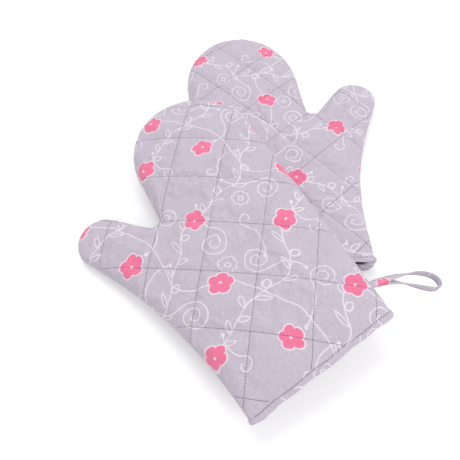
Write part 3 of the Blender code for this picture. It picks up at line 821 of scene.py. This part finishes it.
# %% Inner layers
PUFFED_IN = -0.5 * MM * (1 - np.exp(-(to_line(COARSE_PLAN) / (7 * MM)) ** 2))
WADDING_AT, LINING_AT = OUTER_CLOTH + LAYER_GAP, OUTER_CLOTH + WADDING + 2 * LAYER_GAP
INNER_LAYERS = (
    ("wadding", WADDING_AT, WADDING, 0, 1.2 * MM, fibre, "polyester wadding"),
    ("lining", LINING_AT, LINING, PUFFED_IN, 0, lining_cotton_with_painted_shade, "lining cotton"),
)
for side in ("left", "right"):
    for face in ("back", "palm"):
        flip = (face == "palm") != (side == "left")
        for label, depth, thickness, puff, trim, finish, slot in INNER_LAYERS:
            lift = puff - QUILT_DEPTH
            outer, flat = padded_form(COARSE_PLAN, depth, face, lift, trim)
            inner, flat = padded_form(COARSE_PLAN, depth + thickness, face, lift, trim)
            sheets = lay(outer, side), lay(inner, side)
            name = f"{side}_{face}_{label}_cloth"
            layer = closed_layer(name, *sheets, COARSE_FACES, COARSE_RIM, flip)
            cloth_map(layer, np.tile(flat, (2, 1)))
            finish_cloth(layer, side + "_mitt", f"{side}_{face}_{label}", finish)
print("inner layers: 8")

# %% [markdown]
# ## Cuff binding
# A strip of the same cotton is folded over the raw edges of all layers and sewn through. It is a
# sheet, so its folded profile is swept round the cuff in code: a leg outside, a round fold, and
# a shorter leg inside. Small puckers show where the stitches pull it in.

# %% Binding
STACK = OUTER_CLOTH + WADDING + LINING + 2 * LAYER_GAP
SIDE_ANGLES = np.radians(np.linspace(0, 90, 9))
CUFF_STEP = 1.3 * MM
TAPE_CUT_FROM = (0.19, 0.066)
beside_near = int(np.argmin(np.abs(above_cuff(EDGE[:200]) - CUFF_ROW)))
beside_far = len(EDGE) - 200 + int(np.argmin(np.abs(above_cuff(EDGE[-200:]) - CUFF_ROW)))


def cuff_section(depth, lift, row):
    """The closed section of a surface at the cuff line (row 0) or the row beside it (row 1)."""
    near, far = (0, len(EDGE) - 1) if row == 0 else (beside_near, beside_far)
    ways = []
    for index, run in ((near, CUFF_RUN), (far, -CUFF_RUN)):
        ways.append(run / (run @ EDGE_NORMALS[index]) if row == 0 else EDGE_NORMALS[index])
    level = HALF_THICKNESS + lift - CUFF_PINCH
    inward = depth + (EDGE_ROUND - depth) * (1 - np.cos(SIDE_ANGLES))
    height = (level + SEAM_GAP / 2) * np.sin(SIDE_ANGLES)
    start, end = EDGE[near] + ways[0] * inward[:, None], EDGE[far] + ways[1] * inward[:, None]
    count = round(hypot(*(CUFF_END - CUFF_START)) / CUFF_STEP)
    middle = start[-1] + (end[-1] - start[-1]) * np.linspace(0, 1, count)[1:-1, None]
    crown = np.clip((nearest_edge(middle)[0] - EDGE_ROUND) / CROWN_SPAN, 0, 1)
    crown = CROWN * (1 - (1 - crown) ** 2)
    top = np.vstack([start, middle, end[::-1]])
    rise = np.concatenate([height, height[-1] + crown, height[::-1]])
    drop = np.concatenate([height, np.full(len(middle), height[-1]), height[::-1]])
    under = top[1:-1][::-1]
    return np.vstack([np.column_stack([top, rise]), np.column_stack([under, -drop[1:-1][::-1]])])


def folded_profile():
    """Rows of the binding as (inward, lift, along): outside leg, fold, inside leg and back."""
    gap, reach = LAYER_GAP, LAYER_GAP + BINDING_CLOTH
    outside_end, inside_end = BINDING_OUTSIDE - 0.3 * MM, BINDING_INSIDE - 0.3 * MM

    def corner(centre, radius, angles):
        inward = centre - radius * np.cos(np.radians(angles))
        return list(zip(inward, -inward, -radius * np.sin(np.radians(angles))))

    rows = []
    for along in np.linspace(outside_end, 0, 6):
        crown = 0.5 * MM * sin(pi * min(1, along / BINDING_OUTSIDE + 0.15))
        rows.append((-reach, reach + crown, along))
    rows += corner(0, reach, (25, 50, 75, 90)) + [(STACK / 2, -STACK / 2, -reach)]
    rows += corner(STACK, reach, (90, 105, 130, 155))
    # The inside leg bulges, so that the lining stays under it
    inside = STACK + reach + 0.5 * MM
    rows += [(inside, -inside, along) for along in np.linspace(0, inside_end, 6)]
    tip = STACK + gap + BINDING_CLOTH / 2
    rows.append((tip, -tip, BINDING_INSIDE))
    rows += [(STACK + gap, -STACK - gap, along) for along in np.linspace(inside_end, 0, 6)]
    rows += corner(STACK, gap, (135, 90)) + corner(0, gap, (90, 45))
    rows += [(-gap, gap, along) for along in np.linspace(0, outside_end, 5)]
    tip = gap + BINDING_CLOTH / 2
    rows.append((-tip, tip, BINDING_OUTSIDE))
    return rows


def tube_faces(rows, around):
    """Faces between rows of points, each row closed, and the last row joined to the first."""
    faces = []
    for row in range(rows):
        here, there = row * around, (row + 1) % rows * around
        for i in range(around):
            j = (i + 1) % around
            faces.append((here + i, here + j, there + j, there + i))
    return faces


def binding(side):
    """The folded strip round the cuff of one mitt."""
    profile = folded_profile()
    rings = []
    for inward, lift, along in profile:
        lift = lift - QUILT_DEPTH
        at_cuff, beside = cuff_section(inward, lift, 0), cuff_section(inward, lift, 1)
        if along > 0:
            rings.append(at_cuff + (beside - at_cuff) * along / CUFF_ROW)
        else:
            rings.append(at_cuff + np.append(CUFF_OUT, 0) * -along)
    rings = np.array(rings)
    around = rings.shape[1]
    share = np.arange(around) / around
    wrinkle = np.sin(tau * 31 * share + 1.0) * np.sin(tau * 13 * share)
    wrinkle = wrinkle + 0.6 * np.sin(tau * 47 * share + 2.2)
    outside = np.array([1.0 if inward < 0.5 * MM else 0.35 for inward, lift, along in profile])
    rings[:, :, :2] -= CUFF_OUT * (0.22 * MM * wrinkle[None, :, None] * outside[:, None, None])
    # The outer leg isn't equally wide all the way round, and narrow where a quilting line runs in
    uneven = np.sin(tau * 7 * share + 0.7) + 0.7 * np.sin(tau * 17 * share + 2.0)
    leg = [max(0.0, along) * (inward < 0) for inward, lift, along in profile]
    leg = np.array(leg) / BINDING_OUTSIDE
    pinched = np.exp(-(to_line(rings[0, :, :2]) / (6 * MM)) ** 2)
    widening = 0.4 * MM * uneven - 1.1 * MM * pinched
    rings[:, :, :2] -= CUFF_OUT * (widening[None, :, None] * leg[:, None, None])
    faces = tube_faces(len(profile), around)
    made = new_object(side + "_cuff_tape", lay(rings.reshape(-1, 3), side), faces, side == "left")
    round_cuff = lengths_along(np.vstack([rings[0], rings[0, :1]]))
    along_strip = round_cuff[:-1] + TAPE_CUT_FROM[0]
    across_strip = lengths_along(rings[:, 0])[:, None] + TAPE_CUT_FROM[1]
    flat = np.stack(np.broadcast_arrays(along_strip, across_strip), -1)
    cloth_map(made, flat.reshape(-1, 2))
    finish_cloth(made, side + "_mitt", side + "_cuff_binding", cotton)


for side in ("left", "right"):
    binding(side)

# %% [markdown]
# ## Hanging loop
# A strip folded lengthwise and stitched along its open edge, then doubled into a loop whose ends
# are caught in the side seam. Its two strands lie flat together at the seam and twist on edge as
# they open. It is swept along the same curve as in the plain model, with a fuller section.

# %% Loop
LOOP_LENGTH, LOOP_SPREAD, LOOP_WIDTH, LOOP_THICKNESS = 0.067, 0.0095, 0.006, 0.0016
LOOP_FROM_CUFF, LOOP_TWIST_SHARE, LOOP_SEAT, LOOP_SEAM = 0.027, 0.3, 0.0022, 0.30
LOOPS = {"right": (0.0, radians(25), radians(-33)), "left": (pi, radians(12), radians(-150))}
LOOP_STEPS, LOOP_CUT_FROM = 110, (0.05, 0.47)


def loop_frames(curl):
    """Centres, widths and thicknesses along the loop, in the frame of its seam."""
    fold = (LOOP_THICKNESS + SEAM_GAP) / 2
    centres, widths = [], []
    for share in np.linspace(0, 1, LOOP_STEPS + 1):
        swell = sin(pi * share)
        turn = curl * swell
        ahead = LOOP_LENGTH * swell * np.sinc(turn / pi)
        ahead -= LOOP_SEAT * (1 - smooth(min(share, 1 - share) / 0.05))
        aside = LOOP_LENGTH * swell * sin(turn / 2) * np.sinc(turn / tau)
        spread = LOOP_SPREAD * sin(tau * share) * swell
        rise = fold * cos(pi * share)
        centres.append((ahead - spread * sin(turn), aside + spread * cos(turn), rise))
        twist = -pi / 2 * smooth(min(share, 1 - share) / LOOP_TWIST_SHARE)
        widths.append((-sin(turn) * cos(twist), cos(turn) * cos(twist), sin(twist)))
    for angle in np.linspace(-pi / 2, -3 * pi / 2, 7)[1:-1]:
        centres.append((fold * cos(angle) - LOOP_SEAT, 0, fold * sin(angle)))
        widths.append((0, 1, 0))
    centres, widths = np.array(centres), np.array(widths)
    run = np.roll(centres, -1, 0) - np.roll(centres, 1, 0)
    run /= np.linalg.norm(run, axis=1, keepdims=True)
    thick = np.cross(run, widths)
    thick /= np.linalg.norm(thick, axis=1, keepdims=True)
    return centres, np.cross(thick, run), thick


# The section: two layers of folded cotton, fuller in the middle and pressed flat at its stitching
SECTION = [(0.5, 0.28), (0.44, 0.46), (0.30, 0.34), (0.1, 0.5)]
SECTION = SECTION + [(-0.15, 0.5), (-0.38, 0.44), (-0.5, 0.22)]
SECTION = SECTION + [(a, -b) for a, b in SECTION[::-1]]


def hanging_loop(side):
    """The twisted strip of one mitt's loop."""
    facing, drop, curl = LOOPS[side]
    seat = LOOP_THICKNESS + 1.5 * SEAM_GAP
    root = bend([(seat, CUFF_SLANT + LOOP_FROM_CUFF, 0)], side)[0]
    hinge = BODIES[side] @ Matrix.Translation(root)
    hinge = hinge @ Matrix.Rotation(facing, 4, "Z") @ Matrix.Rotation(drop, 4, "Y")
    hinge = np.array(hinge)
    centres, wide, thick = loop_frames(curl)
    centres, wide, thick = (v @ hinge[:3, :3].T for v in (centres, wide, thick))
    centres = centres + hinge[:3, 3]
    lengths = lengths_along(centres)
    points, flat = [], []
    for i, centre in enumerate(centres):
        wavy = 1 + 0.035 * sin(lengths[i] / (2.1 * MM)) * sin(lengths[i] / (5.3 * MM))
        for place, (a, b) in enumerate(SECTION):
            points.append(centre + wide[i] * a * LOOP_WIDTH * wavy + thick[i] * b * LOOP_THICKNESS)
            across = LOOP_CUT_FROM[1] + place * 1.1 * MM
            flat.append((LOOP_CUT_FROM[0] + lengths[i], across))
    faces = tube_faces(len(centres), len(SECTION))
    made = new_object(side + "_loop_strip", points, faces, True)
    cloth_map(made, flat)
    finish_cloth(made, side + "_loop", side + "_hanging_loop", cotton)
    print(made.name, "strip length", round(lengths[LOOP_STEPS] / MM), "mm")
    return made, centres, wide, thick, lengths


strips = {side: hanging_loop(side) for side in ("left", "right")}

# %% [markdown]
# ## Stitches
# The quilting is sewn with a dark lockstitch of about two millimetres, and it is what makes the
# lattice readable. A drawn line would lie flat on the cloth, so every stitch is a small body: one
# is modelled, then copied along each line, snapped to the puffed cotton and half sunk into it.

# %% One stitch
STITCH_PITCH, STITCH_LENGTH, STITCH_WIDTH, STITCH_HEIGHT = 2.2 * MM, 1.65 * MM, 0.46 * MM, 0.32 * MM
bpy.ops.object.select_all(action="DESELECT")
bpy.ops.mesh.primitive_cylinder_add(vertices=6, radius=0.5, depth=1, end_fill_type="TRIFAN")
bpy.ops.transform.rotate(value=pi / 2, orient_axis="Y", center_override=(0, 0, 0))
bpy.ops.object.transform_apply(location=False, rotation=True, scale=False)
bpy.ops.object.mode_set(mode="EDIT")
bpy.ops.mesh.select_all(action="SELECT")
bpy.ops.mesh.bisect(plane_co=(0.3, 0, 0), plane_no=(1, 0, 0))
bpy.ops.mesh.select_all(action="SELECT")
bpy.ops.mesh.bisect(plane_co=(-0.3, 0, 0), plane_no=(1, 0, 0))
bpy.ops.object.mode_set(mode="OBJECT")
one = bpy.context.object
STITCH = points_of(one)
# Both ends taper and dive into the cloth
taper = np.where(abs(STITCH[:, 0]) > 0.4, 0.55, 1.0)
STITCH[:, 1:] *= taper[:, None]
STITCH[:, 2] += 0.25 - 1.6 * STITCH[:, 0] ** 2
STITCH *= (STITCH_LENGTH, STITCH_WIDTH, STITCH_HEIGHT)
STITCH_FACES = [tuple(p.vertices) for p in one.data.polygons]
bpy.data.objects.remove(one)
print("one stitch:", len(STITCH_FACES), "faces")


def sew(name, body, spots, ways, normals):
    """A piece of thread: a copy of the stitch at each spot, along its way and on its normal."""
    spots, ways, normals = (np.asarray(v, float) for v in (spots, ways, normals))
    ways = ways - (ways * normals).sum(1, keepdims=True) * normals
    ways /= np.linalg.norm(ways, axis=1, keepdims=True)
    sides = np.cross(normals, ways)
    copies = spots[:, None] + STITCH[None, :, 0, None] * ways[:, None]
    copies = copies + STITCH[None, :, 1, None] * sides[:, None]
    copies = copies + STITCH[None, :, 2, None] * normals[:, None]
    size = len(STITCH)
    faces = [tuple(i + size * k for i in face) for k in range(len(spots)) for face in STITCH_FACES]
    made = new_object(name, copies.reshape(-1, 3), faces)
    made.data.materials.append(thread)
    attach(made, body)
    print(name, len(spots), "stitches")
    return made


# %% Quilting stitches
def surface_tree(made):
    """A search tree of a finished mesh."""
    places = [vertex.co for vertex in made.data.vertices]
    return BVHTree.FromPolygons(places, [face.vertices for face in made.data.polygons])


FLAT_TREE = BVHTree.FromPolygons([(x, y, 0) for x, y in PLAN], PLAN_FACES)


def on_cloth(plan, laid):
    """Points of the laid net for plan points, found through the net's triangles."""
    found = []
    for x, y in plan:
        spot, normal, index, distance = FLAT_TREE.find_nearest((x, y, 0))
        a, b, c = PLAN_FACES[index]
        flat = [Vector((*PLAN[i], 0)) for i in (a, b, c)]
        found.append(barycentric_transform(spot, *flat, *[Vector(laid[i]) for i in (a, b, c)]))
    return found


def snap(points, tree):
    """The nearest places of a finished mesh, with its normals there."""
    hits = [tree.find_nearest(point) for point in points]
    return np.array([tuple(h[0]) for h in hits]), np.array([tuple(h[1]) for h in hits])


def quilting_rows():
    """Middles of the stitches on the pattern, each with the way that its line runs."""
    middles, ways = [], []
    for across, along in ((FIRST_WAY, SECOND_WAY), (SECOND_WAY, FIRST_WAY)):
        for line in range(-6, 7):
            steps = np.arange(-0.32, 0.32, STITCH_PITCH)
            row = QUILT_CROSSING + QUILT_CELL * line * across + steps[:, None] * along
            distance, foot, normal = nearest_edge(row)
            sewn = ((row - foot) * normal).sum(1) > 0
            sewn &= (distance > 1.2 * MM) & (above_cuff(row) > BINDING_OUTSIDE + 1.5 * MM)
            middles.append(row[sewn])
            ways.append(np.repeat(along[None], sewn.sum(), 0))
    return np.vstack(middles), np.vstack(ways)


def ditch_row_and_painted_shade():
    """Stitches in the ditch by the binding; their dark row also paints the ditch's shade."""
    start, end = EDGE[0], EDGE[-1]
    count = int(hypot(*(end - start)) / STITCH_PITCH)
    row = start + (end - start) * (np.arange(count)[:, None] + 0.5) / count
    row = row - CUFF_OUT * (BINDING_OUTSIDE + 0.45 * MM)
    row = row[nearest_edge(row)[0] > 3.5 * MM]
    return row, np.repeat(CUFF_RUN[None], len(row), 0)


# The ditch row is real stitching, and its dark thread also paints the shade line in the ditch
rows = [quilting_rows(), ditch_row_and_painted_shade()]
MIDDLES, WAYS = (np.vstack([row[i] for row in rows]) for i in (0, 1))
for (side, face), (panel, laid) in outer_panels.items():
    tree = surface_tree(panel)
    spots, normals = snap(on_cloth(MIDDLES, laid), tree)
    ahead, _ = snap(on_cloth(MIDDLES + WAYS * MM, laid), tree)
    sew(f"{side}_{face}_quilting_thread", side + "_mitt", spots, ahead - spots, normals)

# %% Loop stitches
for side, (strip, centres, wide, thick, lengths) in strips.items():
    tree = surface_tree(strip)
    stops = np.arange(STITCH_PITCH, lengths[LOOP_STEPS] - STITCH_PITCH, STITCH_PITCH)
    spots, ways = [], []
    for through in (1, -1):
        track = centres + wide * LOOP_SEAM * LOOP_WIDTH + thick * through * LOOP_THICKNESS
        here = np.stack([np.interp(stops, lengths, track[:, i]) for i in range(3)], 1)
        ahead = np.stack([np.interp(stops + MM, lengths, track[:, i]) for i in range(3)], 1)
        spots.append(here)
        ways.append(ahead - here)
    found, normals = snap([Vector(p) for p in np.vstack(spots)], tree)
    sew(side + "_loop_thread", side + "_loop", found, np.vstack(ways), normals)
